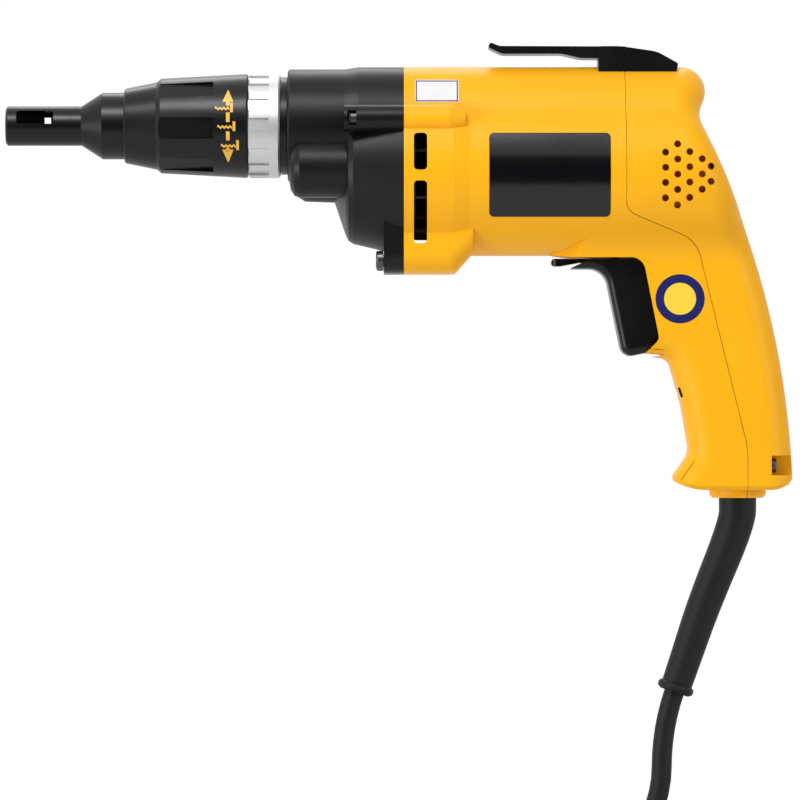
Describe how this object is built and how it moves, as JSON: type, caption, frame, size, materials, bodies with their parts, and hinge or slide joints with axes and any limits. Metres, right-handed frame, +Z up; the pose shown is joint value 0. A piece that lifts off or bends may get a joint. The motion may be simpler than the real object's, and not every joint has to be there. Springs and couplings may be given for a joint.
{
  "type": "corded drywall screwdriver",
  "caption": "Corded pistol-grip drywall screwdriver with depth-setting nose, press-to-drive clutch, trigger, reversing lever, belt hook and supply cord.",
  "frame": {"origin": "middle of the hand grip, where the palm closes on the handle", "axes": "+Z up, the nose points along -X, +Y across the tool away from the pictured side"},
  "size_m": [0.3695, 0.0706, 0.4521],
  "materials": {
    "yellow_shell": "moulded nylon, fine satin grain",
    "black_plastic": "moulded plastic, fine grain",
    "black_gloss": "smooth gloss",
    "black_case": "die casting with satin black paint",
    "bare_aluminium": "turned, satin",
    "dark_steel": "blackened",
    "bright_steel": "ground",
    "iron": "stacked sheets",
    "copper": "enamelled copper",
    "bronze": "sintered bronze",
    "carbon": "pressed carbon",
    "black_rubber": "soft black rubber"
  },
  "bodies": {
    "housing": {"nose_friction_ring": "black_rubber", "gear_thrust_washer": "bronze", "spindle_front_bush": "bronze", "spindle_rear_bush": "bronze", "gear_case": "black_case", "pinion_tip_bush": "bronze", "front_bearing": "bright_steel", "rear_bearing": "bright_steel", "bearing_plate": "bare_aluminium", "field_core": "iron", "field_coils": "copper", "brush_holders": "bronze", "carbon_brushes": "carbon", "brush_springs": "bright_steel", "bearing_carrier": "black_plastic", "motor_housing": "yellow_shell", "handle_cover": "yellow_shell", "side_badge": "black_gloss", "gear_case_screws": "dark_steel", "handle_cover_screws": "dark_steel", "belt_hook": "black_plastic", "belt_hook_screws": "dark_steel", "trigger_spring": "bright_steel", "trigger_switch": "black_plastic", "strain_relief": "black_rubber", "cord_core": "black_rubber", "cord_clamp": "black_plastic", "cord_clamp_screws": "dark_steel", "lead_wires": "copper", "cord": "black_rubber", "cord_coil": "black_rubber", "plug_body": "black_rubber", "plug_blades": "bronze", "cord_tie": "black_rubber"},
    "nose_cone": {"nose_sleeve": "black_plastic", "collar_retaining_ring": "bright_steel"},
    "depth_collar": {"depth_collar": "black_plastic"},
    "nosepiece": {"nosepiece": "black_plastic"},
    "lock_ring": {"lock_ring": "bare_aluminium"},
    "armature": {"armature_shaft": "bright_steel", "armature_core": "iron", "armature_winding": "copper", "commutator": "copper", "cooling_fan": "black_plastic"},
    "drive_gear": {"drive_gear": "bright_steel", "clutch_spring": "bright_steel"},
    "spindle": {"spindle": "bright_steel", "bit_holder": "dark_steel", "bit_magnet": "bright_steel"},
    "trigger": {"trigger": "black_plastic"},
    "reverse_lever": {"reverse_lever": "black_plastic"}
  },
  "joints": [
    {"name": "nose_pull_off", "type": "slide", "parent": "housing", "child": "nose_cone", "axis": [-1, 0, 0], "range_m": [0, 0.09]},
    {"name": "depth_collar_turn", "type": "hinge", "parent": "nose_cone", "child": "depth_collar", "pos_m": [-0.2204, 0, 0.1], "axis": [-1, 0, 0], "range_deg": [-270, 270]},
    {"name": "nosepiece_travel", "type": "slide", "parent": "nose_cone", "child": "nosepiece", "axis": [-1, 0, 0], "range_m": [-0.0045, 0.0045]},
    {"name": "lock_ring_turn", "type": "hinge", "parent": "nose_cone", "child": "lock_ring", "pos_m": [-0.1874, 0, 0.1], "axis": [-1, 0, 0], "range_deg": [-25, 25]},
    {"name": "armature_spin", "type": "hinge", "parent": "housing", "child": "armature", "pos_m": [-0.0904, 0, 0.0808], "axis": [1, 0, 0], "continuous": true},
    {"name": "gear_spin", "type": "hinge", "parent": "housing", "child": "drive_gear", "pos_m": [-0.1444, 0, 0.1], "axis": [1, 0, 0], "continuous": true},
    {"name": "spindle_press", "type": "slide", "parent": "drive_gear", "child": "spindle", "axis": [1, 0, 0], "range_m": [0, 0.0036], "stiffness_N_per_m": 2500, "springref_m": -0.001, "deforming": ["clutch_spring"]},
    {"name": "trigger_pull", "type": "slide", "parent": "housing", "child": "trigger", "axis": [1, 0, 0], "range_m": [0, 0.0063], "stiffness_N_per_m": 900, "springref_m": -0.004, "deforming": ["trigger_spring"]},
    {"name": "reverse_swing", "type": "hinge", "parent": "housing", "child": "reverse_lever", "pos_m": [-0.044, 0, 0.044], "axis": [0, 0, 1], "range_deg": [-12, 12]}
  ],
  "couplings": [
    {"joint": "nosepiece_travel", "follows": "depth_collar_turn", "m_per_rad": 0.00095},
    {"joint": "gear_spin", "follows": "armature_spin", "ratio": -0.2}
  ]
}
